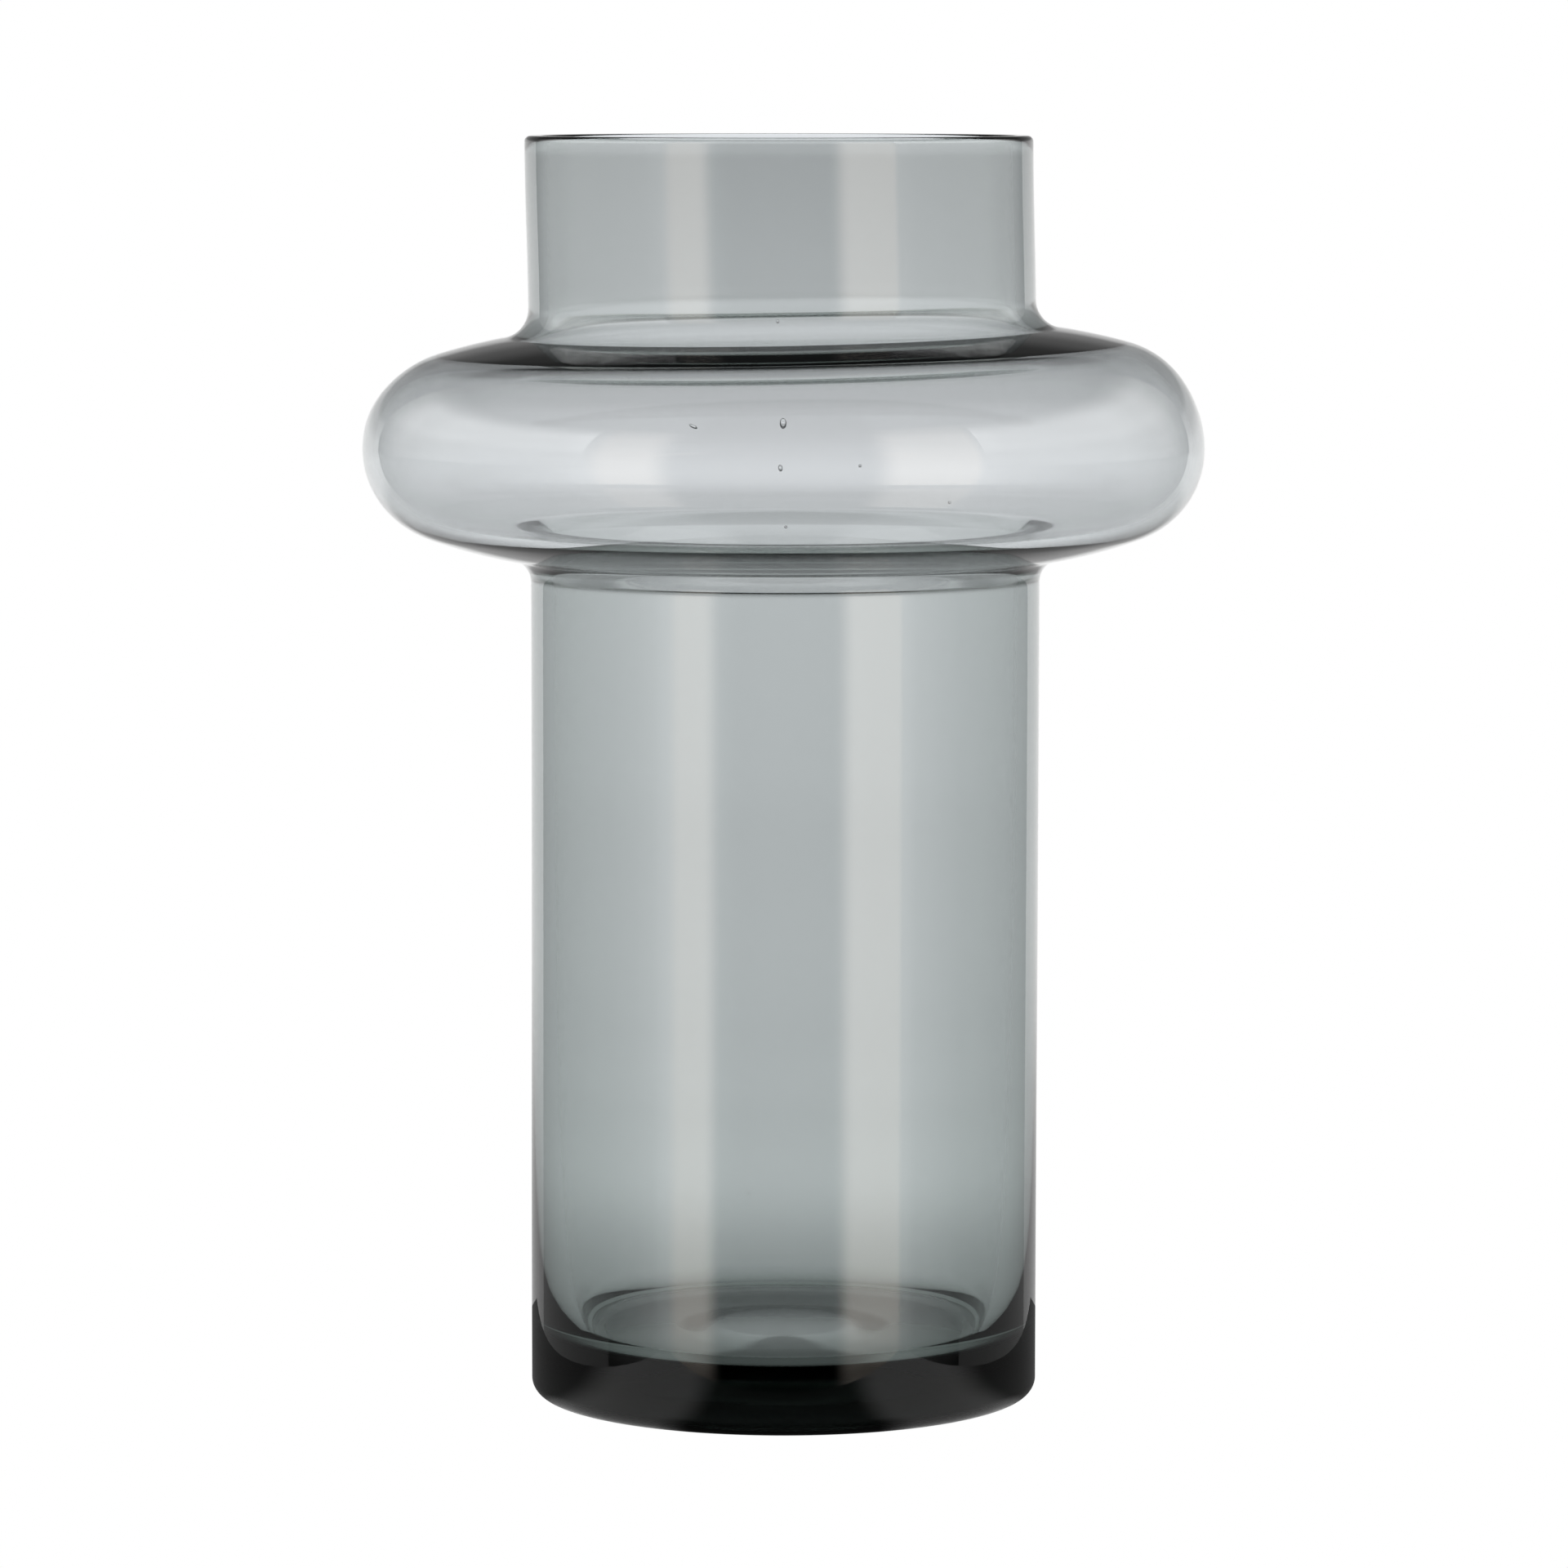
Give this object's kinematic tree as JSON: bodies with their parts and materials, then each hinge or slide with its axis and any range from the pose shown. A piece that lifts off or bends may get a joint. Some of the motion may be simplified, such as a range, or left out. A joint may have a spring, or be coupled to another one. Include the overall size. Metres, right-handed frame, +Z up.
{
  "type": "glass cylinder vase",
  "caption": "Tall straight-sided vase in smoke-grey glass with a hollow ring bulging out under the neck; holds cut stems in water.",
  "frame": {"origin": "centre of the plane that the foot rests on", "axes": "+Z up along the vase's axis, from the foot to the rim; X and Y are level and equivalent"},
  "size_m": [0.1994, 0.1994, 0.3],
  "materials": {
    "smoke_glass": "clear smoke-grey glass, polished smooth, with a few small seeds"
  },
  "bodies": {
    "root": {"base": "smoke_glass", "body_tube": "smoke_glass", "ring_lower_shoulder": "smoke_glass", "ring_side": "smoke_glass", "ring_upper_shoulder": "smoke_glass", "neck_tube": "smoke_glass", "rim": "smoke_glass"}
  },
  "joints": []
}
